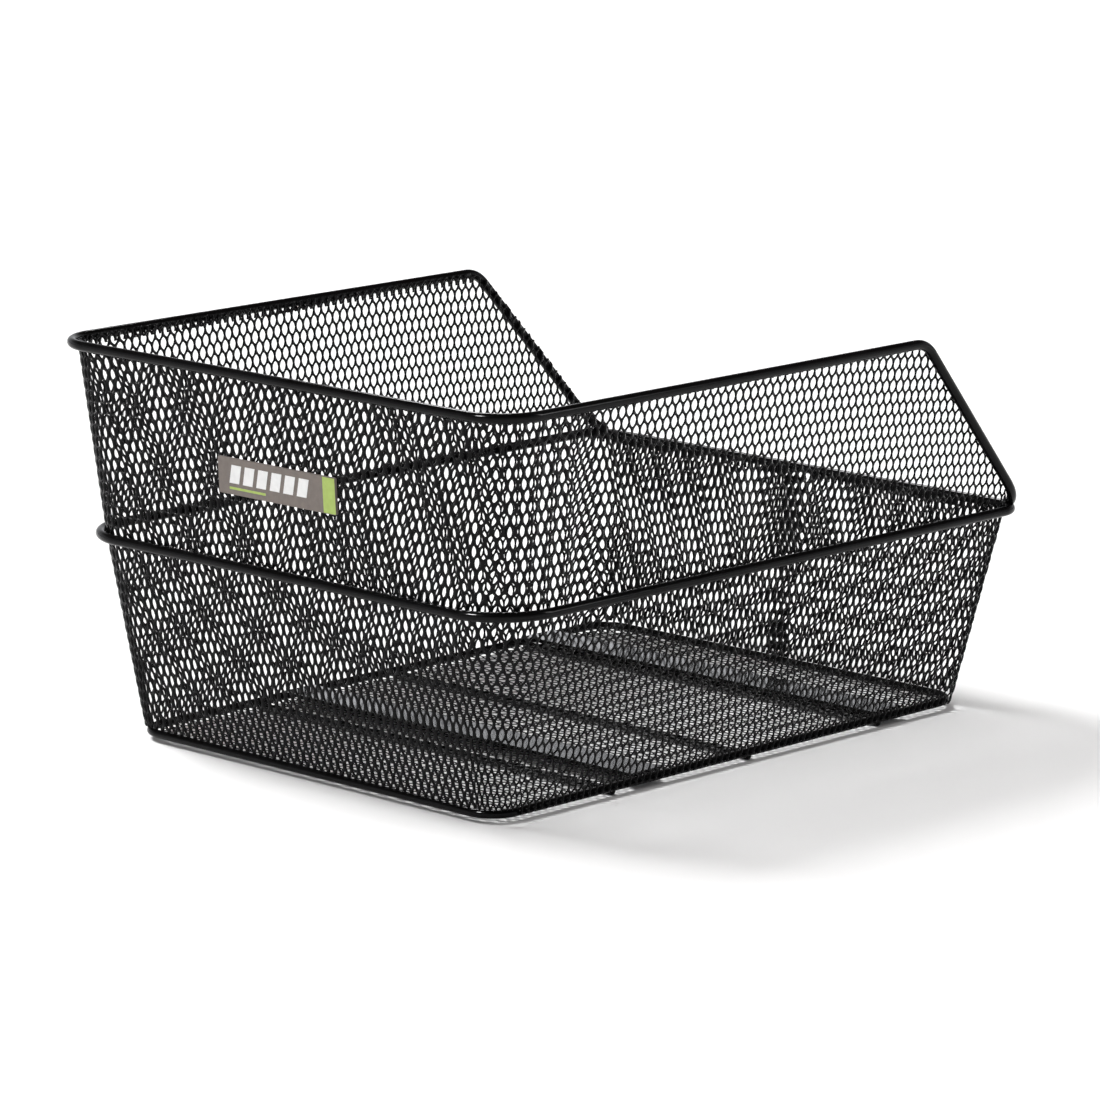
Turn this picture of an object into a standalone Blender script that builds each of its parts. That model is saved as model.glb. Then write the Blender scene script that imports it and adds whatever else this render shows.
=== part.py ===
"""Basket for the rear carrier of a bicycle.

Expanded-metal walls and floor stand inside a frame of round wire: an open rim hoop, a closed
ring round the waist and a closed base frame with three cross wires under it. The front wall is
low, and the rim slopes down to it. +X points to the low front, +Y to the left and +Z up. The
origin is the centre of the bounding box, on the ground.
"""

import math

import bmesh
import bpy

# ---------------------------------------------------------------- driving dimensions, in metres
FIT_GAP = 0.0003                # left between pieces that touch

FLOOR_LENGTH = 0.400            # foot of the rear wall to foot of the front wall
FLOOR_WIDTH = 0.304             # foot of one side wall to foot of the other
RING_FLARE_ENDS = 0.0185        # how far an end wall leans out between its foot and the ring
RING_FLARE_SIDES = 0.0215
RIM_FLARE_ENDS = 0.0070         # how far it leans out further between the ring and the rim
RIM_FLARE_SIDES = 0.0085
RING_HEIGHT = 0.124             # ring wire's centre above the ground
RIM_HEIGHT = 0.238              # rim wire's centre above the ground

CUTAWAY_LENGTH = 0.101          # horizontal run of the rim's slope down to the front
CUTAWAY_BEND = 0.020            # bend radius at the top of the slope

REAR_CORNER_FOOT = 0.018        # corner radii of the walls, on the sheet's middle
REAR_CORNER_RING = 0.034
REAR_CORNER_RIM = 0.024
FRONT_CORNER_FOOT = 0.018
FRONT_CORNER_RING = 0.013

SHEET_THICKNESS = 0.0015        # over the raised strands
SEAM_OVERLAP = 0.0165           # the wall strip's two ends lap in the middle of the front wall
SEAM_RAMP = 0.004

RIM_WIRE_DIAMETER = 0.006
RING_WIRE_DIAMETER = 0.006
BASE_WIRE_DIAMETER = 0.005
CROSS_WIRE_DIAMETER = 0.005
CROSS_WIRE_DROP = 0.0025        # cross wires' centres below the base wire's
CROSS_WIRE_SPACING = 0.115
CROSS_WIRE_OFFSET = 0.012       # middle cross wire ahead of the floor's centre

STRIP_WIDTH = 0.025
STRIP_THICKNESS = 0.002
REAR_STRIP_OFFSET = -0.073      # from the floor's centre
FRONT_STRIP_OFFSET = 0.137

BADGE_LENGTH = 0.097
BADGE_HEIGHT = 0.0215
BADGE_THICKNESS = 0.0015
BADGE_LEVEL = 0.177             # badge centre above the ground
BADGE_CORNER = 0.0012
BACKING_LENGTH = 0.080
BACKING_HEIGHT = 0.014
BACKING_THICKNESS = 0.001
SCREW_SPACING = 0.060
SCREW_DIAMETER = 0.003
SCREW_HEAD_DIAMETER = 0.0056
SCREW_HEAD_HEIGHT = 0.0016
DRILL_DEPTH = 0.012

CORNER_STEPS = 9                # facets round each corner
BEND_STEPS = 6
ROUND_STEPS = 20
WELD_DISTANCE = 0.00001

# ---------------------------------------------------------------- sizes that follow from them
CROSS_WIRE_Z = CROSS_WIRE_DIAMETER / 2
BASE_WIRE_Z = CROSS_WIRE_Z + CROSS_WIRE_DROP
FOOT_Z = BASE_WIRE_Z - BASE_WIRE_DIAMETER / 2
END_WALL_FOOT_Z = BASE_WIRE_Z + BASE_WIRE_DIAMETER / 2 + FIT_GAP
FLOOR_Z = CROSS_WIRE_DIAMETER + FIT_GAP + SHEET_THICKNESS / 2
STRIP_Z = FLOOR_Z + SHEET_THICKNESS / 2 + FIT_GAP + STRIP_THICKNESS / 2

WALL_LEAN = math.atan(max(RING_FLARE_ENDS, RING_FLARE_SIDES) / (RING_HEIGHT - FOOT_Z))
RING_STANDOFF = (SHEET_THICKNESS / 2 + FIT_GAP + RING_WIRE_DIAMETER / 2) / math.cos(WALL_LEAN)
RIM_STANDOFF = (SHEET_THICKNESS / 2 + FIT_GAP + RIM_WIRE_DIAMETER / 2) / math.cos(WALL_LEAN)

BASE_HALF_LENGTH = FLOOR_LENGTH / 2
BASE_HALF_WIDTH = FLOOR_WIDTH / 2 - SHEET_THICKNESS / 2 - FIT_GAP - BASE_WIRE_DIAMETER / 2
INNER_HALF_LENGTH = BASE_HALF_LENGTH - BASE_WIRE_DIAMETER / 2 - FIT_GAP
INNER_HALF_WIDTH = BASE_HALF_WIDTH - BASE_WIRE_DIAMETER / 2 - FIT_GAP

SLOPE_ANGLE = math.atan2(RIM_HEIGHT - RING_HEIGHT, CUTAWAY_LENGTH)
SLOPE_END_Z = (RING_HEIGHT + RING_WIRE_DIAMETER / 2 + 2 * FIT_GAP
               + RIM_WIRE_DIAMETER / 2 * math.cos(SLOPE_ANGLE))


def blend(low, high, share):
    return low + (high - low) * share


def by_height(z, foot, ring, rim):
    """Value at height z, linear from the foot to the ring and from the ring to the rim."""
    if z <= RING_HEIGHT:
        return blend(foot, ring, (z - FOOT_Z) / (RING_HEIGHT - FOOT_Z))
    return blend(ring, rim, (z - RING_HEIGHT) / (RIM_HEIGHT - RING_HEIGHT))


def half_length(z):
    foot = FLOOR_LENGTH / 2
    ring = foot + RING_FLARE_ENDS
    return by_height(z, foot, ring, ring + RIM_FLARE_ENDS)


def half_width(z):
    foot = FLOOR_WIDTH / 2
    ring = foot + RING_FLARE_SIDES
    return by_height(z, foot, ring, ring + RIM_FLARE_SIDES)


def rear_radius(z):
    return by_height(z, REAR_CORNER_FOOT, REAR_CORNER_RING, REAR_CORNER_RIM)


def front_radius(z):
    return by_height(z, FRONT_CORNER_FOOT, FRONT_CORNER_RING, FRONT_CORNER_RING)


FRONT_WIRE_X = half_length(RING_HEIGHT) + RING_STANDOFF
SLOPE_TOP_X = FRONT_WIRE_X - CUTAWAY_LENGTH
BEND_START_X = SLOPE_TOP_X - CUTAWAY_BEND * math.tan(SLOPE_ANGLE / 2)
BEND_END_X = BEND_START_X + CUTAWAY_BEND * math.sin(SLOPE_ANGLE)

REAR_REACH = half_length(RIM_HEIGHT) + RIM_STANDOFF + RIM_WIRE_DIAMETER / 2
FRONT_REACH = FRONT_WIRE_X + RING_WIRE_DIAMETER / 2
CENTRE_SHIFT = (REAR_REACH - FRONT_REACH) / 2


def rim_height_at(x):
    """Height of the rim wire's centre at x: level, then a bend, then the slope."""
    if x <= BEND_START_X:
        return RIM_HEIGHT
    if x <= BEND_END_X:
        run = x - BEND_START_X
        return RIM_HEIGHT - CUTAWAY_BEND + math.sqrt(CUTAWAY_BEND ** 2 - run ** 2)
    return RIM_HEIGHT - (x - SLOPE_TOP_X) * math.tan(SLOPE_ANGLE)


# ---------------------------------------------------------------- points on the walls
def rear_corner(side, turn, z, standoff=0.0):
    """Point on a rear corner. turn runs from 0 at the side wall to 1 at the rear wall."""
    angle = turn * math.pi / 2
    radius = rear_radius(z) + standoff
    x = -(half_length(z) + standoff) + radius * (1 - math.sin(angle))
    y = side * (half_width(z) + standoff - radius * (1 - math.cos(angle)))
    return (x, y, z)


def front_corner(side, turn, z, standoff=0.0):
    """Point on a front corner. turn runs from 0 at the side wall to 1 at the front wall."""
    angle = turn * math.pi / 2
    radius = front_radius(z) + standoff
    x = half_length(z) + standoff - radius * (1 - math.sin(angle))
    y = side * (half_width(z) + standoff - radius * (1 - math.cos(angle)))
    return (x, y, z)


def turns():
    return [step / CORNER_STEPS for step in range(CORNER_STEPS + 1)]


def closed_loop(z, half_x, half_y, rear, front):
    """Rounded rectangle at height z with its own radii at the rear and at the front."""
    points = []
    corners = ((1, 1, front), (-1, 1, rear), (-1, -1, rear), (1, -1, front))
    for index, (sign_x, sign_y, radius) in enumerate(corners):
        for turn in turns():
            angle = (index + turn) * math.pi / 2
            points.append((sign_x * (half_x - radius) + radius * math.cos(angle),
                           sign_y * (half_y - radius) + radius * math.sin(angle), z))
    return points


# ---------------------------------------------------------------- objects
def clear_scene():
    for item in list(bpy.data.objects):
        bpy.data.objects.remove(item, do_unlink=True)


def make_collection(name):
    collection = bpy.data.collections.new(name)
    bpy.context.scene.collection.children.link(collection)
    return collection


def make_material(name, colour, roughness, metallic):
    material = bpy.data.materials.new(name)
    material.use_nodes = True
    shader = material.node_tree.nodes["Principled BSDF"]
    shader.inputs["Base Color"].default_value = (*colour, 1.0)
    shader.inputs["Roughness"].default_value = roughness
    shader.inputs["Metallic"].default_value = metallic
    return material


def black_coat(name):
    return make_material(name + "_coat", (0.012, 0.012, 0.013), 0.28, 0.0)


def add_object(name, data, parent, collection, material):
    item = bpy.data.objects.new(name, data)
    item.parent = parent
    collection.objects.link(item)
    item.data.materials.append(material)
    return item


def wire(name, points, diameter, closed, parent, collection):
    """Round wire along a list of points."""
    curve = bpy.data.curves.new(name, "CURVE")
    curve.dimensions = "3D"
    curve.bevel_depth = diameter / 2
    curve.bevel_resolution = 2
    curve.use_fill_caps = not closed
    spline = curve.splines.new("POLY")
    spline.points.add(len(points) - 1)
    for target, point in zip(spline.points, points):
        target.co = (*point, 1.0)
    spline.use_cyclic_u = closed
    spline.use_smooth = True
    return add_object(name, curve, parent, collection, black_coat(name))


def wall_panel(name, columns, parent, collection):
    """Sheet lofted through columns of points, each listed from its foot up."""
    loft = bmesh.new()
    grid = [[loft.verts.new(point) for point in column] for column in columns]
    for left, right in zip(grid, grid[1:]):
        for row in range(len(left) - 1):
            loft.faces.new((left[row], right[row], right[row + 1], left[row + 1]))
    mesh = bpy.data.meshes.new(name)
    loft.to_mesh(mesh)
    loft.free()
    panel = add_object(name, mesh, parent, collection, black_coat(name))
    sheet = panel.modifiers.new("sheet", "SOLIDIFY")
    sheet.thickness = SHEET_THICKNESS
    sheet.offset = 0.0
    sheet.use_even_offset = True
    return panel


def flat_plate(name, outline, thickness, parent, collection, material):
    """Plate cut to a closed outline of (x, y) points."""
    curve = bpy.data.curves.new(name, "CURVE")
    curve.dimensions = "2D"
    curve.fill_mode = "BOTH"
    curve.extrude = thickness / 2
    spline = curve.splines.new("POLY")
    spline.points.add(len(outline) - 1)
    for target, (x, y) in zip(spline.points, outline):
        target.co = (x, y, 0.0, 1.0)
    spline.use_cyclic_u = True
    return add_object(name, curve, parent, collection, material)


def solid_from_curve(plate, collection):
    """Turn a curve into a welded mesh object, so that holes can be cut in it."""
    name = plate.name
    bpy.context.view_layer.update()
    evaluated = plate.evaluated_get(bpy.context.evaluated_depsgraph_get())
    mesh = bpy.data.meshes.new_from_object(evaluated)
    weld = bmesh.new()
    weld.from_mesh(mesh)
    bmesh.ops.remove_doubles(weld, verts=weld.verts, dist=WELD_DISTANCE)
    bmesh.ops.recalc_face_normals(weld, faces=weld.faces)
    weld.to_mesh(mesh)
    weld.free()
    parent = plate.parent
    place = plate.matrix_world.copy()
    bpy.data.objects.remove(plate, do_unlink=True)
    solid = bpy.data.objects.new(name, mesh)
    solid.parent = parent
    solid.matrix_world = place
    collection.objects.link(solid)
    return solid


def turned(name, profile, parent, collection, material):
    """Turned piece about Z, from (radius, z) points that run down its outer side."""
    line = bmesh.new()
    verts = [line.verts.new((radius, 0.0, z)) for radius, z in profile]
    for upper, lower in zip(verts, verts[1:]):
        line.edges.new((upper, lower))
    mesh = bpy.data.meshes.new(name)
    line.to_mesh(mesh)
    line.free()
    piece = add_object(name, mesh, parent, collection, material)
    spin = piece.modifiers.new("turn", "SCREW")
    spin.steps = ROUND_STEPS
    spin.render_steps = ROUND_STEPS
    spin.use_merge_vertices = True
    spin.merge_threshold = WELD_DISTANCE
    return piece


def drill_bit(name, radius, depth, parent, cutters):
    """Cutter for a round hole along the parent's Z."""
    rod = bmesh.new()
    bmesh.ops.create_cone(rod, cap_ends=True, segments=ROUND_STEPS,
                          radius1=radius, radius2=radius, depth=depth)
    mesh = bpy.data.meshes.new(name)
    rod.to_mesh(mesh)
    rod.free()
    bit = bpy.data.objects.new(name, mesh)
    bit.parent = parent
    bit.hide_render = True
    bit.display_type = "WIRE"
    cutters.objects.link(bit)
    return bit


def cut(target, cutter):
    hole = target.modifiers.new("hole_" + cutter.name, "BOOLEAN")
    hole.operation = "DIFFERENCE"
    hole.solver = "EXACT"
    hole.object = cutter


# ---------------------------------------------------------------- wire frame
def rim_path():
    """Up the right slope, along the right side, round the rear and back down the left."""
    half = []
    corner_x = half_length(RING_HEIGHT) - front_radius(RING_HEIGHT)
    end_x = SLOPE_TOP_X + (RIM_HEIGHT - SLOPE_END_Z) / math.tan(SLOPE_ANGLE)
    for step in range(CORNER_STEPS):
        x = blend(end_x, corner_x, step / CORNER_STEPS)
        half.append(rim_point(x))
    half.append(rim_point(corner_x))
    for step in range(BEND_STEPS + 1):
        half.append(rim_point(blend(BEND_END_X, BEND_START_X, step / BEND_STEPS)))
    half += [rear_corner(1, turn, RIM_HEIGHT, RIM_STANDOFF) for turn in turns()]
    other = [(x, -y, z) for x, y, z in reversed(half)]
    return half + other


def rim_point(x):
    """Point on the left half of the rim, ahead of the rear corner."""
    z = rim_height_at(x)
    radius = front_radius(z) + RIM_STANDOFF
    arc_start = half_length(z) + RIM_STANDOFF - radius
    y = half_width(z) + RIM_STANDOFF
    if x > arc_start:
        sine = min(1.0, (x - arc_start) / radius)
        y -= radius * (1 - math.sqrt(1 - sine * sine))
    return (x, y, z)


def make_rim_wire(parent, collection):
    wire("rim_wire", rim_path(), RIM_WIRE_DIAMETER, False, parent, collection)


def make_ring_wire(parent, collection):
    z = RING_HEIGHT
    points = closed_loop(z, half_length(z) + RING_STANDOFF, half_width(z) + RING_STANDOFF,
                         rear_radius(z) + RING_STANDOFF, front_radius(z) + RING_STANDOFF)
    wire("ring_wire", points, RING_WIRE_DIAMETER, True, parent, collection)


def make_base_frame_wire(parent, collection):
    points = closed_loop(BASE_WIRE_Z, BASE_HALF_LENGTH, BASE_HALF_WIDTH,
                         REAR_CORNER_FOOT, FRONT_CORNER_FOOT)
    wire("base_frame_wire", points, BASE_WIRE_DIAMETER, True, parent, collection)


def make_cross_wires(parent, collection):
    for place, name in enumerate(("rear", "middle", "front")):
        x = CROSS_WIRE_OFFSET + (place - 1) * CROSS_WIRE_SPACING
        ends = [(x, side * INNER_HALF_WIDTH, CROSS_WIRE_Z) for side in (-1, 1)]
        wire("cross_wire_" + name, ends, CROSS_WIRE_DIAMETER, False, parent, collection)


# ---------------------------------------------------------------- mesh sheets
def column(point_at, foot, top):
    """Foot, waist and top points of one column; the waist row keeps clear of the top one."""
    waist = min(RING_HEIGHT, top - SHEET_THICKNESS)
    return [point_at(z) for z in (foot, waist, top)]


def side_wall_columns(side):
    """Columns of a side wall from rear to front, under the rim's bend and slope."""
    def station(x_at, top):
        return column(lambda z: (x_at(z), side * half_width(z), z), FOOT_Z, top)

    def rear_end(z):
        return rear_radius(z) - half_length(z) + FIT_GAP

    def front_end(z):
        return half_length(z) - front_radius(z) - FIT_GAP

    columns = [station(rear_end, RIM_HEIGHT)]
    for step in range(BEND_STEPS + 1):
        x = blend(BEND_START_X, BEND_END_X, step / BEND_STEPS)
        columns.append(station(lambda z, x=x: x, rim_height_at(x)))
    columns.append(station(front_end, rim_height_at(front_end(RING_HEIGHT))))
    return columns if side < 0 else list(reversed(columns))


def make_side_walls(parent, collection):
    for side, name in ((1, "left_wall_mesh"), (-1, "right_wall_mesh")):
        wall_panel(name, side_wall_columns(side), parent, collection)


def rear_wall_columns():
    """Left rear corner, rear wall and right rear corner."""
    left = [column(lambda z, turn=turn: rear_corner(1, turn, z), END_WALL_FOOT_Z, RIM_HEIGHT)
            for turn in turns()]
    right = [column(lambda z, turn=turn: rear_corner(-1, turn, z), END_WALL_FOOT_Z, RIM_HEIGHT)
             for turn in reversed(turns())]
    return left + right


def front_corner_columns(side):
    columns = []
    for turn in turns():
        wire_x = front_corner(side, turn, RING_HEIGHT, RIM_STANDOFF)[0]
        top = max(RING_HEIGHT, rim_height_at(wire_x))
        columns.append(column(lambda z, turn=turn: front_corner(side, turn, z),
                              END_WALL_FOOT_Z, top))
    return columns


def front_wall_column(y, inset):
    return column(lambda z: (half_length(z) - inset, y, z), END_WALL_FOOT_Z, RING_HEIGHT)


def make_end_walls(parent, collection):
    wall_panel("rear_wall_mesh", rear_wall_columns(), parent, collection)
    lap = SEAM_OVERLAP / 2
    left = front_corner_columns(1) + [front_wall_column(-lap, 0.0)]
    wall_panel("front_wall_mesh_left", list(reversed(left)), parent, collection)
    inset = (SHEET_THICKNESS + FIT_GAP) / math.cos(WALL_LEAN)
    ramp_end = -lap - 2 * FIT_GAP
    right = front_corner_columns(-1) + [front_wall_column(ramp_end - SEAM_RAMP, 0.0),
                                        front_wall_column(ramp_end, inset),
                                        front_wall_column(lap, inset)]
    wall_panel("front_wall_mesh_right", right, parent, collection)


def make_floor_mesh(parent, collection):
    rim = closed_loop(0.0, INNER_HALF_LENGTH, INNER_HALF_WIDTH,
                      REAR_CORNER_FOOT - BASE_WIRE_DIAMETER / 2 - FIT_GAP,
                      FRONT_CORNER_FOOT - BASE_WIRE_DIAMETER / 2 - FIT_GAP)
    plate = flat_plate("floor_mesh", [(x, y) for x, y, _ in rim], SHEET_THICKNESS,
                       parent, collection, black_coat("floor_mesh"))
    plate.location.z = FLOOR_Z


# ---------------------------------------------------------------- mounting strips
def make_mounting_strips(parent, collection):
    for name, x in (("mounting_strip_rear", REAR_STRIP_OFFSET),
                    ("mounting_strip_front", FRONT_STRIP_OFFSET)):
        bar = bmesh.new()
        bmesh.ops.create_cube(bar, size=1.0)
        size = (STRIP_WIDTH, 2 * INNER_HALF_WIDTH, STRIP_THICKNESS)
        bmesh.ops.scale(bar, vec=size, verts=bar.verts)
        mesh = bpy.data.meshes.new(name)
        bar.to_mesh(mesh)
        bar.free()
        strip = add_object(name, mesh, parent, collection, black_coat(name))
        strip.location = (x, 0.0, STRIP_Z)


# ---------------------------------------------------------------- badge
def badge_outline(length, height, corner):
    loop = closed_loop(0.0, length / 2, height / 2, corner, corner)
    return [(x, y) for x, y, _ in loop]


def badge_mount(parent, collection):
    """Empty on the rear wall's middle surface, +Z outward and +Y up the wall."""
    mount = bpy.data.objects.new("badge_mount", None)
    collection.objects.link(mount)
    mount.parent = parent
    mount.location = (-half_length(BADGE_LEVEL), 0.0, BADGE_LEVEL)
    lean = math.atan(RIM_FLARE_ENDS / (RIM_HEIGHT - RING_HEIGHT))
    mount.rotation_euler = (math.pi / 2 + lean, 0.0, -math.pi / 2)
    return mount


def make_badge(parent, collection, cutters, rear_wall):
    mount = badge_mount(parent, collection)
    half_sheet = SHEET_THICKNESS / 2
    plate = flat_plate("badge_plate", badge_outline(BADGE_LENGTH, BADGE_HEIGHT, BADGE_CORNER),
                       BADGE_THICKNESS, mount, collection,
                       make_material("badge_plate_paint", (0.16, 0.13, 0.11), 0.45, 0.0))
    plate.location.z = half_sheet + FIT_GAP + BADGE_THICKNESS / 2

    backing = flat_plate("badge_backing_plate",
                         badge_outline(BACKING_LENGTH, BACKING_HEIGHT, BADGE_CORNER),
                         BACKING_THICKNESS, mount, collection, black_coat("badge_backing_plate"))
    backing.location.z = -(half_sheet + FIT_GAP + BACKING_THICKNESS / 2)
    backing_coat = backing.data.materials[0]
    backing = solid_from_curve(backing, collection)
    backing.data.materials.clear()
    backing.data.materials.append(backing_coat)

    head_top = -(half_sheet + 2 * FIT_GAP + BACKING_THICKNESS)
    head_foot = head_top - SCREW_HEAD_HEIGHT
    profile = [(0.0, half_sheet), (SCREW_DIAMETER / 2, half_sheet), (SCREW_DIAMETER / 2, head_top),
               (SCREW_HEAD_DIAMETER / 2, head_top), (SCREW_HEAD_DIAMETER / 2, head_foot),
               (0.0, head_foot)]
    for name, place in (("left", 1), ("right", -1)):
        steel = make_material("badge_screw_" + name + "_steel", (0.5, 0.5, 0.52), 0.3, 1.0)
        screw = turned("badge_screw_" + name, profile, mount, collection, steel)
        bit = drill_bit("screw_hole_" + name, SCREW_DIAMETER / 2 + FIT_GAP, DRILL_DEPTH,
                        mount, cutters)
        for rod in (screw, bit):
            rod.location.x = -place * SCREW_SPACING / 2
        cut(rear_wall, bit)
        cut(backing, bit)


def build():
    clear_scene()
    basket = make_collection("rear_carrier_basket")
    cutters = make_collection("cutters")
    centre = bpy.data.objects.new("floor_centre", None)
    basket.objects.link(centre)
    centre.location.x = CENTRE_SHIFT

    make_rim_wire(centre, basket)
    make_ring_wire(centre, basket)
    make_base_frame_wire(centre, basket)
    make_cross_wires(centre, basket)
    make_side_walls(centre, basket)
    make_end_walls(centre, basket)
    make_floor_mesh(centre, basket)
    make_mounting_strips(centre, basket)
    make_badge(centre, basket, cutters, basket.objects["rear_wall_mesh"])


build()
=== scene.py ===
"""Looks of a bicycle basket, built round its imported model.

The walls and the floor are real expanded metal: every opening is cut through a sheet of twisted
strands. A sheet is made flat, as a brick pattern of cells, stretched and trimmed to its panel's
outline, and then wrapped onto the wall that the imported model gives. Wires are fine tubes on the
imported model's routes.

The wall is described by two coordinates: the distance along it, measured round the ring
counter-clockwise from above, from where the front left corner begins, and the height.
"""

import math

import bmesh
import bpy
import numpy as np
from mathutils import Matrix, Vector


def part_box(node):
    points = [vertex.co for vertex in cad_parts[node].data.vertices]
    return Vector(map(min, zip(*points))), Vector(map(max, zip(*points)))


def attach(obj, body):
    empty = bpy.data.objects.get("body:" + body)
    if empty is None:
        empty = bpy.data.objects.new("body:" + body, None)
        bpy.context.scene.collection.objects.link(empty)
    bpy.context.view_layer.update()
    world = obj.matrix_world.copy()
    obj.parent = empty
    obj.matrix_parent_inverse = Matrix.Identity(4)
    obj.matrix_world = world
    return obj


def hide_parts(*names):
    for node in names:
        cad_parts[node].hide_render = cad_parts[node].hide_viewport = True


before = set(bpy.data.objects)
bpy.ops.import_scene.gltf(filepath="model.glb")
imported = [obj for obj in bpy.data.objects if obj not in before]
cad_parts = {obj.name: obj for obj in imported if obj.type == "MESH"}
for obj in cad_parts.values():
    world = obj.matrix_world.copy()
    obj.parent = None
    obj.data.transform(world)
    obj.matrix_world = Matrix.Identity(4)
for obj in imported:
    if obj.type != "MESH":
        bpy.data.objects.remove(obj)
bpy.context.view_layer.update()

# ---------------------------------------------------------------- sizes, in metres
SHEET_SOLID = 0.0015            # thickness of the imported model's plain sheets
FIT_GAP = 0.0003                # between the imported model's pieces
REAR_RADII = (0.018, 0.034, 0.024)      # wall corners at the foot, the ring and the rim
FRONT_RADII = (0.018, 0.013, 0.013)
KNEE_SOFTNESS = 0.004           # how gently a wall bends at the ring
CUTAWAY_LENGTH = 0.101          # horizontal run of the rim's slope down to the front
CUTAWAY_BEND = 0.020            # bend radius at the top of that slope
SEAM_OVERLAP = 0.0165           # the wall strip's ends lap in the middle of the front wall
SEAM_RAMP = 0.006               # length over which the inner end steps in
SEAM_DEPTH = 0.0016
SEAT_AT_BASE = -0.0004          # offset of the mesh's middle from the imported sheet's, outwards
SEAT_AT_RING = 0.0002
SIDE_FOOT_DROP = 0.4            # side mesh ends this share of the base wire below its middle

CELL_WIDTH = 0.0059             # pitch of the openings along a row, at the ring
ROW_HEIGHT = 0.00725            # from one row of openings to the next
OPENING_HALF_WIDTH = 0.0020
OPENING_HALF_HEIGHT = 0.00395
OPENING_FULLNESS = 0.78         # 0.5 is an ellipse, 1 is a pointed lens
POINT_INSET = 1.3               # an opening's points draw back this much further than its sides
STRAND_THICKNESS = 0.00105
STRAND_TILT = math.radians(31)  # twist of a strand out of the sheet
STRAND_EDGE = 0.00018           # rounding of a strand's edges
EDGE_LEVEL = 0.86               # where the rounding starts, as a share of half the thickness
FLOOR_STRAND_THICKNESS = 0.0006
FLOOR_STRAND_TILT = math.radians(30)
FLOOR_MARGIN = 0.0008           # the floor mesh ends this far inside the base wire's middle
SIDE_LEAN = 0.11                # how far the strands on the side walls lean forward, per height
ROW_ARCH = 0.65                 # bow of the rows along a wall, per metre, at STRETCH_HEIGHT
ARCH_CRESTS = (0.42, 0.50, 0.34)        # share of the left, rear and right wall's length
ARCH_LIFT = 0.002               # height of the highest crest's rows over their flat place
STRETCH_HEIGHT = 0.200
STRIP_MARGIN = 0.05             # spare length of strip past the seam, in the tables below
STRETCH_MARGIN = np.array((0.034, 0.024))       # spare sheet round a panel, before stretching
HEM_HEIGHT = 0.0062             # the sheet's folded top edge
HEM_SINK = 0.0012
RIM_TUCK = 0.0014               # how far the mesh runs up past the middle of the top wires
CROSS_OVERHANG = 0.002          # the cross wires' ends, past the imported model's
WIRE_SIDES = 24
CORNER_STEPS = 20               # points round a quarter bend of a wire
TIP_RISE = 0.6                  # rim's tips end this share of the ring wire above its middle
DOME_RINGS = 4
DOME_HEIGHT = 0.5               # of a wire's end, as a share of its radius

BADGE_HEIGHT = 0.0215
BADGE_THICKNESS = 0.0015
INK_THICKNESS = 0.00016
BADGE_MARGIN = 0.0004           # from the end strip to the badge's edge
BADGE_STRIP_WIDTH = 0.0098
BADGE_BARS = 6
BADGE_BAR_PITCH = 0.0112
BADGE_BAR_WIDTH = 0.0080
BADGE_BAR_SLANT = 0.0026
BADGE_BAR_HEIGHTS = (-0.0040, 0.0068)   # foot and top of a bar, from the badge's middle
BADGE_PRINT_START = 0.009       # from the badge's left edge to the first bar
BADGE_LINE_LENGTH = 0.030
BADGE_LINE_HEIGHTS = (-0.0076, -0.0062)

CAMERA_AZIMUTH = math.radians(-45.76)
CAMERA_ELEVATION = math.radians(11.65)
CAMERA_DISTANCE = 3.332
CAMERA_LENS = 182.9             # in millimetres, for a sensor 36 mm wide
AIM_HEIGHT = 0.1242
FRAMING = (0.0017, 0.0185)      # how far left of and below that point the camera looks

WALL_TOP = 0.24                 # sines of the angles above the horizon where the studio's
CEILING_START = 0.50            # pale wall begins to darken, and where the dark ceiling starts


def middle(node):
    low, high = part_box(node)
    return (low + high) / 2


def size(node):
    low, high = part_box(node)
    return high - low


SHIFT = middle("floor_mesh").x
RING_RADIUS = size("ring_wire").z / 2
RING_Z = middle("ring_wire").z
RIM_RADIUS = RING_RADIUS
RIM_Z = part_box("rim_wire")[1].z - RIM_RADIUS
BASE_RADIUS = size("base_frame_wire").z / 2
BASE_Z = middle("base_frame_wire").z
CROSS_RADIUS = size("cross_wire_rear").z / 2
SIDE_FOOT_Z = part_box("right_wall_mesh")[0].z
END_FOOT_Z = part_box("rear_wall_mesh")[0].z

BASE_HALF_LENGTH = size("base_frame_wire").x / 2 - BASE_RADIUS
BASE_HALF_WIDTH = size("base_frame_wire").y / 2 - BASE_RADIUS
FOOT_HALF_WIDTH = BASE_HALF_WIDTH + BASE_RADIUS + FIT_GAP + SHEET_SOLID / 2
RING_WIRE_HALF_LENGTH = size("ring_wire").x / 2 - RING_RADIUS
RING_WIRE_HALF_WIDTH = size("ring_wire").y / 2 - RING_RADIUS
RIM_WIRE_HALF_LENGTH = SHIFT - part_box("rim_wire")[0].x - RIM_RADIUS
RIM_WIRE_HALF_WIDTH = size("rim_wire").y / 2 - RIM_RADIUS

WALL_LEAN = math.atan((RING_WIRE_HALF_WIDTH - FOOT_HALF_WIDTH) / (RING_Z - BASE_Z))
STANDOFF = (SHEET_SOLID / 2 + FIT_GAP + RING_RADIUS) / math.cos(WALL_LEAN)
# Half sizes of the wall at its foot, at the ring and at the rim.
HALF_LENGTHS = (BASE_HALF_LENGTH, RING_WIRE_HALF_LENGTH - STANDOFF, RIM_WIRE_HALF_LENGTH - STANDOFF)
HALF_WIDTHS = (FOOT_HALF_WIDTH, RING_WIRE_HALF_WIDTH - STANDOFF, RIM_WIRE_HALF_WIDTH - STANDOFF)

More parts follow.
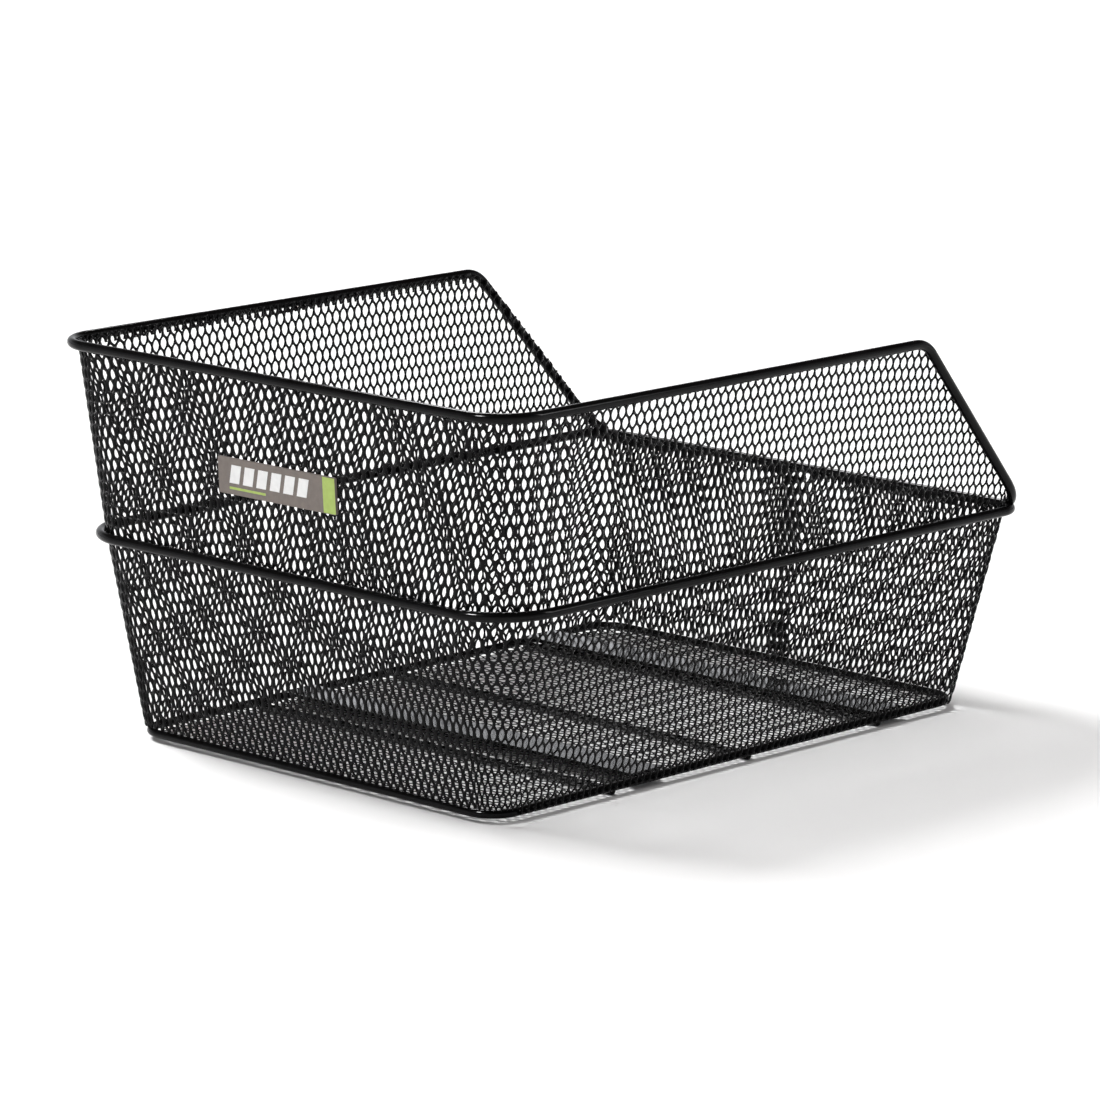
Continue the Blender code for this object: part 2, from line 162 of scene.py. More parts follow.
SLOPE_ANGLE = math.atan2(RIM_Z - RING_Z, CUTAWAY_LENGTH)
SLOPE_TOP_X = RING_WIRE_HALF_LENGTH - CUTAWAY_LENGTH
BEND_START_X = SLOPE_TOP_X - CUTAWAY_BEND * math.tan(SLOPE_ANGLE / 2)
BEND_END_X = BEND_START_X + CUTAWAY_BEND * math.sin(SLOPE_ANGLE)


# ---------------------------------------------------------------- the wall's shape
def by_height(z, foot_ring_rim):
    """Value at height z: linear from foot to ring and from ring to rim, with a soft knee."""
    foot, ring, rim = foot_ring_rim
    below = (ring - foot) / (RING_Z - SIDE_FOOT_Z)
    above = (rim - ring) / (RIM_Z - RING_Z)
    rise = z - RING_Z
    knee = (rise + np.sqrt(rise * rise + KNEE_SOFTNESS * KNEE_SOFTNESS)) / 2
    return ring + below * rise + (above - below) * knee


CORNERS = ((1, 1, FRONT_RADII), (-1, 1, REAR_RADII), (-1, -1, REAR_RADII), (1, -1, FRONT_RADII))


def perimeter_lengths():
    """Lengths round the wall at the ring: corner, straight, corner, straight and so on."""
    half_x, half_y = HALF_LENGTHS[1], HALF_WIDTHS[1]
    front, rear = FRONT_RADII[1], REAR_RADII[1]
    side = 2 * half_x - front - rear
    quarter = math.pi / 2
    return [quarter * front, side, quarter * rear, 2 * (half_y - rear),
            quarter * rear, side, quarter * front, 2 * (half_y - front)]


LENGTHS = perimeter_lengths()
STARTS = np.concatenate(([0.0], np.cumsum(LENGTHS)))
PERIMETER = STARTS[-1]
SEAM = PERIMETER - LENGTHS[7] / 2


def arc_point(corner, share, z, standoff):
    """Point on a corner at a share of its quarter turn, counter-clockwise from above."""
    sign_x, sign_y, radii = CORNERS[corner]
    radius = by_height(z, radii)
    centre_x = sign_x * (by_height(z, HALF_LENGTHS) - radius)
    centre_y = sign_y * (by_height(z, HALF_WIDTHS) - radius)
    angle = (corner + share) * math.pi / 2
    reach = radius + standoff
    return centre_x + reach * np.cos(angle), centre_y + reach * np.sin(angle)


def outline(along, z, standoff=0.0):
    """Plan position on the wall at a distance along the ring's perimeter and a height."""
    along = np.mod(along, PERIMETER)
    x = np.zeros_like(along)
    y = np.zeros_like(along)
    for corner in range(4):
        for straight in (0, 1):
            part = 2 * corner + straight
            inside = (along >= STARTS[part]) & (along <= STARTS[part + 1])
            share = (along[inside] - STARTS[part]) / LENGTHS[part]
            height = z[inside]
            if straight:
                x0, y0 = arc_point(corner, 1.0, height, standoff)
                x1, y1 = arc_point((corner + 1) % 4, 0.0, height, standoff)
                x[inside] = x0 + (x1 - x0) * share
                y[inside] = y0 + (y1 - y0) * share
            else:
                x[inside], y[inside] = arc_point(corner, share, height, standoff)
    return np.stack([x + SHIFT, y, z], axis=1)


def on_wall(flat):
    """Wrap flat points (along, height, outward offset) onto the wall."""
    along, z, offset = flat[:, 0], flat[:, 1], flat[:, 2]
    step = 0.0002
    point = outline(along, z)
    sideways = outline(along + step, z) - outline(along - step, z)
    upward = outline(along, z + step) - outline(along, z - step)
    normal = np.cross(sideways, upward)
    normal /= np.linalg.norm(normal, axis=1)[:, None]
    return point + normal * offset[:, None]


# ---------------------------------------------------------------- expanded metal
# Outer ring of a cell, counter-clockwise from the right, in sixths of a cell's width and
# sevenths of a row's height. Neighbouring cells share these points.
HEXAGON = ((3, 0), (3, 2), (2, 3), (1, 4), (0, 5), (-1, 4), (-2, 3), (-3, 2),
           (-3, 0), (-3, -2), (-2, -3), (-1, -4), (0, -5), (1, -4), (2, -3), (3, -2))
# Heights of the opening's own points that go with them, as shares of its half height.
OPENING_LEVELS = (0.0, 0.46, 0.72, 0.905, 1.0)


def opening_ring(inset):
    """Outline of an opening, drawn back into the strands by an inset."""
    half_width = OPENING_HALF_WIDTH + inset
    half_height = OPENING_HALF_HEIGHT + inset * POINT_INSET
    quarter = [(half_width * (1 - level * level) ** OPENING_FULLNESS, half_height * level)
               for level in OPENING_LEVELS]
    right_up = quarter
    left_up = [(-x, z) for x, z in reversed(quarter[:-1])]
    left_down = [(-x, -z) for x, z in quarter[1:]]
    right_down = [(x, -z) for x, z in reversed(quarter[1:-1])]
    return np.array(right_up + left_up + left_down + right_down)


def cell_rings(thickness, tilt):
    """The three inner rings of a cell: front edge, waist and back edge, as (x, z, n)."""
    twist = thickness / 2 * math.sin(tilt)
    depth = thickness / 2 * math.cos(tilt)
    lean = math.sin(tilt) * (CELL_WIDTH / 2 - OPENING_HALF_WIDTH) / OPENING_HALF_WIDTH
    rings = []
    for inset, side in ((STRAND_EDGE, EDGE_LEVEL), (0.0, 0.0), (STRAND_EDGE, -EDGE_LEVEL)):
        ring = opening_ring(inset)
        rings.append(np.column_stack([ring[:, 0] + side * twist, ring[:, 1],
                                      ring[:, 0] * lean + side * depth]))
    return rings


def flat_mesh(name, low, high, thickness=STRAND_THICKNESS, tilt=STRAND_TILT):
    """Flat expanded metal that covers low to high, as an untrimmed mesh of (along, height, n)."""
    columns = np.arange(math.floor(low[0] / CELL_WIDTH) - 2, math.ceil(high[0] / CELL_WIDTH) + 3)
    rows = np.arange(math.floor(low[1] / ROW_HEIGHT) - 2, math.ceil(high[1] / ROW_HEIGHT) + 3)
    column, row = [grid.ravel() for grid in np.meshgrid(columns, rows)]
    centre_x = 6 * column + 3 * (row % 2)
    centre_z = 7 * row

    hexagon = np.array(HEXAGON)
    around = len(hexagon)
    key_x = centre_x[:, None] + hexagon[None, :, 0]
    key_z = centre_z[:, None] + hexagon[None, :, 1]
    # Both whole coordinates go into one number, so that shared points are found by it.
    stride = 1 << 20
    half = stride // 2
    keys = (key_x + half) * stride + key_z + half
    unique, outer = np.unique(keys.ravel(), return_inverse=True)
    outer = outer.reshape(keys.shape)
    outer_x = (unique // stride - half) * CELL_WIDTH / 6
    outer_z = (unique % stride - half) * ROW_HEIGHT / 7

    twist = thickness / 2 * math.sin(tilt)
    depth = thickness / 2 * math.cos(tilt)
    front = np.column_stack([outer_x + twist, outer_z, np.full_like(outer_x, depth)])
    back = np.column_stack([outer_x - twist, outer_z, np.full_like(outer_x, -depth)])
    centre = np.column_stack([centre_x * CELL_WIDTH / 6, centre_z * ROW_HEIGHT / 7,
                              np.zeros(len(centre_x))])
    inner = [(centre[:, None, :] + ring[None, :, :]).reshape(-1, 3)
             for ring in cell_rings(thickness, tilt)]
    verts = np.concatenate([front, back] + inner)

    cells = len(column)
    base = 2 * len(unique)
    ring_index = [base + level * cells * around + np.arange(cells * around).reshape(cells, around)
                  for level in range(3)]
    levels = [outer, *ring_index, outer + len(unique)]
    quads, back_half = [], []
    for level, (first, second) in enumerate(zip(levels, levels[1:])):
        following = np.roll(first, -1, axis=1), np.roll(second, -1, axis=1)
        quads.append(np.stack([first, following[0], following[1], second], axis=2).reshape(-1, 4))
        back_half.append(np.full(cells * around, level >= 2))
    quads = np.concatenate(quads)
    back_half = np.concatenate(back_half)

    mesh = mesh_from_arrays(name, verts, quads)
    uv = np.zeros((len(quads) * 4, 2))
    uv[:, 0] = np.repeat(back_half, 4) * 0.5
    mesh.uv_layers.new(name="OFBake").data.foreach_set("uv", uv.ravel())
    return mesh


def lay_out(mesh):
    """Lay a trimmed flat mesh out for baking: its front on one half, its back on the other."""
    count = len(mesh.loops)
    uv = np.empty(count * 2, dtype=np.float32)
    corner = np.empty(count, dtype=np.int32)
    mesh.loops.foreach_get("vertex_index", corner)
    layer = mesh.uv_layers["OFBake"].data
    layer.foreach_get("uv", uv)
    uv = uv.reshape(-1, 2)
    place_on = vertex_array(mesh)[corner, :2]
    low, high = place_on.min(axis=0), place_on.max(axis=0)
    share = (place_on - low) / (high - low)
    uv[:, 0] = (uv[:, 0] > 0.25) * 0.5 + 0.01 + 0.48 * share[:, 0]
    uv[:, 1] = 0.01 + 0.98 * share[:, 1]
    layer.foreach_set("uv", uv.ravel())


def mesh_from_arrays(name, verts, quads):
    mesh = bpy.data.meshes.new(name)
    mesh.vertices.add(len(verts))
    mesh.vertices.foreach_set("co", np.asarray(verts, dtype=np.float32).ravel())
    mesh.loops.add(quads.size)
    mesh.loops.foreach_set("vertex_index", quads.ravel().astype(np.int32))
    mesh.polygons.add(len(quads))
    mesh.polygons.foreach_set("loop_start", np.arange(0, quads.size, 4, dtype=np.int32))
    mesh.polygons.foreach_set("loop_total", np.full(len(quads), 4, dtype=np.int32))
    mesh.update(calc_edges=True)
    mesh.shade_smooth()
    return mesh


def vertex_array(mesh):
    co = np.empty(len(mesh.vertices) * 3, dtype=np.float32)
    mesh.vertices.foreach_get("co", co)
    return co.reshape(-1, 3).astype(float)


def trim(mesh, outline_points):
    """Cut a flat mesh to a convex outline, given counter-clockwise, and close the cut strands."""
    work = bmesh.new()
    work.from_mesh(mesh)
    uv_layer = work.loops.layers.uv.active
    for (x0, z0), (x1, z1) in zip(outline_points, outline_points[1:] + outline_points[:1]):
        everything = work.verts[:] + work.edges[:] + work.faces[:]
        cut = bmesh.ops.bisect_plane(work, geom=everything, dist=1e-8, plane_co=(x0, z0, 0.0),
                                     plane_no=(z1 - z0, x0 - x1, 0.0), clear_outer=True)
        ends = [item for item in cut["geom_cut"]
                if isinstance(item, bmesh.types.BMEdge) and item.is_boundary]
        filled = bmesh.ops.holes_fill(work, edges=ends, sides=0)
        for face in filled["faces"]:
            face.smooth = False
            for loop in face.loops:
                loop[uv_layer].uv = loop.link_loop_radial_next[uv_layer].uv
    work.to_mesh(mesh)
    work.free()


def by_wall(left, rear, right, front):
    """Knots along the strip, with a pair of values for each wall, from seam to seam."""
    knots = [SEAM - PERIMETER - STRIP_MARGIN, *STARTS[:8], SEAM + STRIP_MARGIN]
    return knots, [front[0], front[1], *left, *rear, *right, front[2], front[3]]


def arch_table():
    """How far rows sink towards the corners, where the strip was stretched into shape.

    The slope of the rows falls steadily along each wall and is zero at its crest.
    """
    slopes = []
    for share, part in zip(ARCH_CRESTS, (1, 3, 5)):
        slopes.append((ROW_ARCH * share * LENGTHS[part], -ROW_ARCH * (1 - share) * LENGTHS[part]))
    half_front = ROW_ARCH * LENGTHS[7] / 4
    knots, values = by_wall(*slopes, (-half_front / 2, -half_front, half_front, half_front / 2))
    along = np.linspace(knots[0], knots[-1], 1200)
    slope = np.interp(along, knots, values)
    height = np.cumsum(slope) * (along[1] - along[0])
    return along, height - height.max() + ARCH_LIFT


ARCH = arch_table()
# Strands lean forward on both side walls, so the lean changes sign across the rear wall.
LEAN = by_wall((-0.8 * SIDE_LEAN, -0.8 * SIDE_LEAN), (-0.35 * SIDE_LEAN, 0.4 * SIDE_LEAN),
               (1.1 * SIDE_LEAN, 1.2 * SIDE_LEAN), (0.0, -0.4 * SIDE_LEAN, 0.6 * SIDE_LEAN, 0.0))


def stretch(flat):
    """Shift the flat sheet's pattern as forming the basket did: rows bow, strands lean."""
    along, rise = flat[:, 0].copy(), flat[:, 1] - BASE_Z
    flat[:, 0] += np.interp(along, *LEAN) * rise
    flat[:, 1] += np.interp(along, *ARCH) * rise / STRETCH_HEIGHT


def seat(along, z):
    """Outward offset that lays the mesh against the wires, and inside the seam's other end."""
    at_ring = np.clip((z - BASE_Z) / (RING_Z - BASE_Z), 0.0, 1.0)
    offset = SEAT_AT_BASE + (SEAT_AT_RING - SEAT_AT_BASE) * at_ring
    past_seam = np.clip((along - (SEAM - SEAM_OVERLAP / 2 - SEAM_RAMP)) / SEAM_RAMP, 0.0, 1.0)
    return offset - SEAM_DEPTH * past_seam * past_seam * (3 - 2 * past_seam)


def wall_piece(name, nodes, outline_points, material, shift=0.0, sink=0.0):
    """One panel of the wall's mesh, trimmed to an outline in (along, height)."""
    points = np.array(outline_points)
    low, high = points.min(axis=0), points.max(axis=0)
    mesh = flat_mesh(name, low - STRETCH_MARGIN * (1, 0.25), high + STRETCH_MARGIN)
    co = vertex_array(mesh)
    co[:, 0] += shift
    stretch(co)
    mesh.vertices.foreach_set("co", co.astype(np.float32).ravel())
    trim(mesh, [tuple(point) for point in outline_points])
    lay_out(mesh)
    co = vertex_array(mesh)
    co[:, 2] += seat(co[:, 0], co[:, 1]) - sink
    mesh.vertices.foreach_set("co", on_wall(co).astype(np.float32).ravel())
    mesh.update()
    return place(name, mesh, nodes, material)


# ---------------------------------------------------------------- pieces
def place(name, data, nodes, material):
    piece = bpy.data.objects.new(name, data)
    bpy.context.scene.collection.objects.link(piece)
    data.materials.append(material)
    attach(piece, "root")
    if nodes:
        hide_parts(*nodes)
    return piece


def tube_mesh(name, path, radius, closed):
    """Round wire along a path of points, with domed ends where it is open."""
    path = np.asarray(path, dtype=float)
    count = len(path)
    if closed:
        tangent = np.roll(path, -1, axis=0) - np.roll(path, 1, axis=0)
    else:
        tangent = np.gradient(path, axis=0)
    tangent /= np.linalg.norm(tangent, axis=1)[:, None]
    level = np.cross(np.tile((0.0, 0.0, 1.0), (count, 1)), tangent)
    level /= np.linalg.norm(level, axis=1)[:, None]
    rise = np.cross(tangent, level)
    angle = np.arange(WIRE_SIDES) * 2 * math.pi / WIRE_SIDES
    ring = (level[:, None, :] * np.cos(angle)[None, :, None]
            + rise[:, None, :] * np.sin(angle)[None, :, None])
    verts = (path[:, None, :] + radius * ring).reshape(-1, 3)
    first = np.arange(count if closed else count - 1)
    second = (first + 1) % count
    around = np.arange(WIRE_SIDES)
    after = (around + 1) % WIRE_SIDES
    first, second = first[:, None] * WIRE_SIDES, second[:, None] * WIRE_SIDES
    quads = np.stack([first + around, first + after, second + after, second + around],
                     axis=2).reshape(-1, 4)
    mesh = mesh_from_arrays(name, verts, quads)
    if not closed:
        dome_ends(mesh, path, tangent, radius)
    return mesh


def dome_ends(mesh, path, tangent, radius):
    """Close a tube's two open ends with domes."""
    work = bmesh.new()
    work.from_mesh(mesh)
    for end, outward in ((0, -1), (-1, 1)):
        centre = Vector(path[end])
        axis = Vector(tangent[end]) * outward
        loop = [edge for edge in work.edges if edge.is_boundary
                and (edge.verts[0].co - centre).length < radius * 1.5]
        for step in range(1, DOME_RINGS):
            grown = bmesh.ops.extrude_edge_only(work, edges=loop)["geom"]
            verts = [item for item in grown if isinstance(item, bmesh.types.BMVert)]
            loop = [item for item in grown if isinstance(item, bmesh.types.BMEdge)
                    and item.is_boundary]
            angle = step / DOME_RINGS * math.pi / 2
            for vert in verts:
                flat = vert.co - centre
                flat -= axis * flat.dot(axis)
                vert.co = (centre + flat.normalized() * radius * math.cos(angle)
                           + axis * radius * math.sin(angle) * DOME_HEIGHT)
        bmesh.ops.holes_fill(work, edges=loop, sides=0)
    bmesh.ops.recalc_face_normals(work, faces=work.faces)
    for face in work.faces:
        face.smooth = True
    work.to_mesh(mesh)
    work.free()


def wire_loop(z, half_x, half_y, rear, front):
    """Closed rounded rectangle at height z, with radii for its rear and front corners."""
    points = []
    for corner, (sign_x, sign_y, radii) in enumerate(CORNERS):
        radius = rear if radii is REAR_RADII else front
        for share in np.linspace(0.0, 1.0, CORNER_STEPS + 1):
            angle = (corner + share) * math.pi / 2
            points.append((SHIFT + sign_x * (half_x - radius) + radius * math.cos(angle),
                           sign_y * (half_y - radius) + radius * math.sin(angle), z))
    return points


def rim_height_at(x):
    """Height of the rim wire at x ahead of the floor's centre: level, a bend, then the slope."""
    if x <= BEND_START_X:
        return RIM_Z
    if x <= BEND_END_X:
        return RIM_Z - CUTAWAY_BEND + math.sqrt(CUTAWAY_BEND ** 2 - (x - BEND_START_X) ** 2)
    return RIM_Z - (x - SLOPE_TOP_X) * math.tan(SLOPE_ANGLE)


def rim_point(x):
    """Point on the left half of the rim, ahead of the rear corner."""
    z = rim_height_at(x)
    height = np.array(z)
    radius = float(by_height(height, FRONT_RADII)) + STANDOFF
    arc_start = float(by_height(height, HALF_LENGTHS)) + STANDOFF - radius
    y = float(by_height(height, HALF_WIDTHS)) + STANDOFF
    if x > arc_start:
        sine = min(1.0, (x - arc_start) / radius)
        y -= radius * (1 - math.sqrt(1 - sine * sine))
    return (SHIFT + x, y, z)


def rim_path():
    """From the left tip up the slope, round the rear and down to the right tip."""
    tip_x = SLOPE_TOP_X + (RIM_Z - RING_Z - TIP_RISE * RING_RADIUS) / math.tan(SLOPE_ANGLE)
    arc_x = HALF_LENGTHS[1] - FRONT_RADII[1]
    half = [rim_point(x) for x in np.linspace(tip_x, arc_x, 14)]
    half += [rim_point(x) for x in np.linspace(arc_x, BEND_END_X, 8)[1:]]
    half += [rim_point(x) for x in np.linspace(BEND_END_X, BEND_START_X, 12)[1:]]
    turn = np.linspace(0.0, 1.0, CORNER_STEPS + 1)
    x, y = arc_point(1, turn, np.full_like(turn, RIM_Z), STANDOFF)
    half += [(SHIFT + px, py, RIM_Z) for px, py in zip(x, y)]
    return half + [(x, -y, z) for x, y, z in reversed(half)]


# ---------------------------------------------------------------- materials
NOISE_SPAN = (0.3, 0.7)


class Graph:
    """Small helper to build a node material from noise in the object's own coordinates."""

    def __init__(self, name):
        self.material = bpy.data.materials.new(name)
        self.material.use_nodes = True
        self.nodes = self.material.node_tree.nodes
        self.links = self.material.node_tree.links
        self.shader = self.nodes["Principled BSDF"]
        self.where = self.nodes.new("ShaderNodeTexCoord").outputs["Object"]

    def noise(self, scale, detail):
        node = self.nodes.new("ShaderNodeTexNoise")
        node.inputs["Scale"].default_value = scale
        node.inputs["Detail"].default_value = detail
        self.links.new(self.where, node.inputs["Vector"])
        return node.outputs["Fac"]

    def ramp(self, value, low, high):
        """Colours from low to high as a noise value runs over its usual span."""
        node = self.nodes.new("ShaderNodeValToRGB")
        first, last = node.color_ramp.elements
        first.position, last.position = NOISE_SPAN
        first.color = (*low, 1.0)
        last.color = (*high, 1.0)
        self.links.new(value, node.inputs["Fac"])
        return node.outputs["Color"]

    def span(self, value, low, high):
        """Numbers from low to high as a noise value runs over its usual span."""
        node = self.nodes.new("ShaderNodeMapRange")
        node.inputs["From Min"].default_value = NOISE_SPAN[0]
        node.inputs["From Max"].default_value = NOISE_SPAN[1]
        node.inputs["To Min"].default_value = low
        node.inputs["To Max"].default_value = high
        self.links.new(value, node.inputs["Value"])
        return node.outputs["Result"]

    def bump(self, value, strength, distance):
        node = self.nodes.new("ShaderNodeBump")
        node.inputs["Strength"].default_value = strength
        node.inputs["Distance"].default_value = distance
        self.links.new(value, node.inputs["Height"])
        self.links.new(node.outputs["Normal"], self.shader.inputs["Normal"])

    def set(self, **values):
        """Give the shader's sockets a number, a colour or a link; _ stands for a space."""
        for key, value in values.items():
            socket = self.shader.inputs[key.replace("_", " ")]
            if isinstance(value, bpy.types.NodeSocket):
                self.links.new(value, socket)
            else:
                socket.default_value = value


def powder_coat(name, peel_scale, rough_range, gloss=0.10, **clear_coat):
    """Glossy black powder coat: slight orange peel, faint warm and cool clouds."""
    graph = Graph(name)
    tint = graph.ramp(graph.noise(38.0, 3.0), (0.0022, 0.0021, 0.0021), (0.0042, 0.0043, 0.0047))
    rough = graph.span(graph.noise(260.0, 2.0), *rough_range)
    graph.set(Base_Color=tint, Roughness=rough, Specular_IOR_Level=gloss, **clear_coat)
    graph.bump(graph.noise(peel_scale, 1.5), 0.22, 0.00010)
    return graph.material


def badge_paint(name, low, high):
    """Satin paint between two colours."""
    graph = Graph(name)
    graph.set(Base_Color=graph.ramp(graph.noise(300.0, 3.0), low, high),
              Roughness=graph.span(graph.noise(900.0, 2.0), 0.38, 0.52))
    graph.bump(graph.noise(2200.0, 1.0), 0.12, 0.00004)
    return graph.material


def screw_steel(name):
    """Plain steel, slightly uneven."""
    graph = Graph(name)
    graph.set(Base_Color=graph.ramp(graph.noise(900.0, 2.0), (0.42, 0.42, 0.43),
                                    (0.58, 0.58, 0.60)),
              Roughness=graph.span(graph.noise(1500.0, 2.0), 0.22, 0.38), Metallic=1.0)
    graph.bump(graph.noise(4000.0, 1.0), 0.1, 0.00003)
    return graph.material


# ---------------------------------------------------------------- making the pieces
def slope_marks():
    """Points of the left wall's top edge in (along, height): the bend's two ends and the slope's
    foot, where the front corner begins."""
    marks = []
    for x in (BEND_START_X, BEND_END_X, HALF_LENGTHS[1] - FRONT_RADII[1]):
        z = rim_height_at(x)
        height = np.array(z)
        front = float(by_height(height, HALF_LENGTHS) - by_height(height, FRONT_RADII))
        rear = -float(by_height(height, HALF_LENGTHS) - by_height(height, REAR_RADII))
        share = (front - x) / (front - rear)
        marks.append((STARTS[1] + share * LENGTHS[1], z + RIM_TUCK))
    return marks


def mirrored(points):
    """The same outline on the other side of the basket."""
    return [(STARTS[1] + STARTS[6] - along, z) for along, z in reversed(points)]


def make_hem(name, node, start, end, edge, material):
    """The sheet's folded top edge: a second layer of mesh just inside the first."""
    band = [(start, edge - HEM_HEIGHT), (end, edge - HEM_HEIGHT), (end, edge), (start, edge)]
    wall_piece(name, [node], band, material, shift=CELL_WIDTH / 2, sink=HEM_SINK)


def make_wall_mesh(coat):
    """Eight panels of one strip, which runs from the seam round the basket and back to it."""
    bend_top, bend_foot, corner = slope_marks()
    tip = (STARTS[1] - LENGTHS[0] / 2, RING_Z + RING_RADIUS + RIM_TUCK)
    halfway = (corner[0] + STARTS[2]) / 2
    top = RIM_Z + RIM_TUCK
    foot = BASE_Z - SIDE_FOOT_DROP * BASE_RADIUS
    left_front = [(tip[0], foot), (halfway, foot), (halfway, top), bend_top, bend_foot, corner, tip]
    left_rear = [(halfway, foot), (STARTS[2], foot), (STARTS[2], top), (halfway, top)]

    back_middle = (STARTS[3] + STARTS[4]) / 2
    end_foot = END_FOOT_Z
    rear_left = [(STARTS[2], end_foot), (back_middle, end_foot), (back_middle, top),
                 (STARTS[2], top)]
    rear_right = [(back_middle, end_foot), (STARTS[5], end_foot), (STARTS[5], top),
                  (back_middle, top)]
    low_top = RING_Z + RIM_TUCK
    lap = SEAM_OVERLAP / 2
    front_left = [(SEAM - PERIMETER - lap, end_foot), (tip[0], end_foot), (tip[0], low_top),
                  (SEAM - PERIMETER - lap, low_top)]
    right_tip = mirrored([tip])[0][0]
    right_bend = mirrored([bend_top])[0][0]
    front_right = [(right_tip, end_foot), (SEAM + lap, end_foot), (SEAM + lap, low_top),
                   (right_tip, low_top)]

    make_hem("wall_hem_left", "left_wall_mesh", bend_top[0], STARTS[2], top, coat)
    make_hem("wall_hem_rear", "rear_wall_mesh", STARTS[2], STARTS[5], top, coat)
    make_hem("wall_hem_right", "right_wall_mesh", STARTS[5], right_bend, top, coat)
    make_hem("wall_hem_front_left", "front_wall_mesh_left", SEAM - PERIMETER + lap, tip[0],
             low_top, coat)
    make_hem("wall_hem_front_right", "front_wall_mesh_right", right_tip, SEAM - lap - SEAM_RAMP,
             low_top, coat)
    wall_piece("wall_mesh_left_front", ["left_wall_mesh"], left_front, coat)
    wall_piece("wall_mesh_left_rear", ["left_wall_mesh"], left_rear, coat)
    wall_piece("wall_mesh_right_front", ["right_wall_mesh"], mirrored(left_front), coat)
    wall_piece("wall_mesh_right_rear", ["right_wall_mesh"], mirrored(left_rear), coat)
    wall_piece("wall_mesh_rear_left", ["rear_wall_mesh"], rear_left, coat)
    wall_piece("wall_mesh_rear_right", ["rear_wall_mesh"], rear_right, coat)
    wall_piece("wall_mesh_front_left", ["front_wall_mesh_left"], front_left, coat)
    wall_piece("wall_mesh_front_right", ["front_wall_mesh_right"], front_right, coat)


def make_floor_mesh(coat):
    """Flat sheet on the cross wires, in a left and a right half."""
    half_x = BASE_HALF_LENGTH - FLOOR_MARGIN
    half_y = BASE_HALF_WIDTH - FLOOR_MARGIN
    level = CROSS_RADIUS * 2 + FLOOR_STRAND_THICKNESS / 2
    outline_points = []
    for corner, (sign_x, sign_y, radii) in enumerate(CORNERS):
        radius = radii[0]
        for share in (0.0, 1 / 3, 2 / 3, 1.0):
            angle = (corner + share) * math.pi / 2
            outline_points.append((sign_x * (half_x - radius) + radius * math.cos(angle),
                                   sign_y * (half_y - radius) + radius * math.sin(angle)))
    for name, sign in (("floor_mesh_left", 1), ("floor_mesh_right", -1)):
        half = [point for point in outline_points if point[1] * sign > 0]
        half = [(sign * half_x, 0.0)] + half + [(-sign * half_x, 0.0)]
        points = np.array(half)
        mesh = flat_mesh(name, points.min(axis=0) - 0.004, points.max(axis=0) + 0.004,
                         FLOOR_STRAND_THICKNESS, FLOOR_STRAND_TILT)
        trim(mesh, half)
        lay_out(mesh)
        co = vertex_array(mesh)
        co += np.array([SHIFT, 0.0, level])
        mesh.vertices.foreach_set("co", co.astype(np.float32).ravel())
        mesh.update()
        place(name, mesh, ["floor_mesh"], coat)


def make_wires(coat):
    """The rim, the ring, the base wire and the three cross wires, as fine tubes."""
    rim = tube_mesh("rim_hoop", rim_path(), RIM_RADIUS, False)
    place("rim_hoop", rim, ["rim_wire"], coat)
    ring = wire_loop(RING_Z, RING_WIRE_HALF_LENGTH, RING_WIRE_HALF_WIDTH,
                     REAR_RADII[1] + STANDOFF, FRONT_RADII[1] + STANDOFF)
    place("waist_ring", tube_mesh("waist_ring", ring, RING_RADIUS, True), ["ring_wire"],
          coat)
    base = wire_loop(BASE_Z, BASE_HALF_LENGTH, BASE_HALF_WIDTH, REAR_RADII[0], FRONT_RADII[0])
    place("base_wire", tube_mesh("base_wire", base, BASE_RADIUS, True), ["base_frame_wire"],
          coat)
    for position in ("rear", "middle", "front"):
        node = "cross_wire_" + position
        centre = middle(node)
        reach = size(node).y / 2 + CROSS_OVERHANG
        path = [(centre.x, share * reach, centre.z) for share in np.linspace(-1, 1, 24)]
        place("floor_wire_" + position, tube_mesh(node, path, CROSS_RADIUS, False), [node],
              coat)


def flat_plate(name, outline_points, thickness, to_world, material):
    """Thin plate from a flat outline (right, up), placed on the badge."""
    work = bmesh.new()
    face = work.faces.new([work.verts.new((x, y, 0.0)) for x, y in outline_points])
    grown = bmesh.ops.extrude_face_region(work, geom=[face])["geom"]
    bmesh.ops.translate(work, vec=(0.0, 0.0, thickness),
                        verts=[item for item in grown if isinstance(item, bmesh.types.BMVert)])
    bmesh.ops.recalc_face_normals(work, faces=work.faces)
    mesh = bpy.data.meshes.new(name)
    work.to_mesh(mesh)
    work.free()
    mesh.transform(to_world)
    return place(name, mesh, [], material)


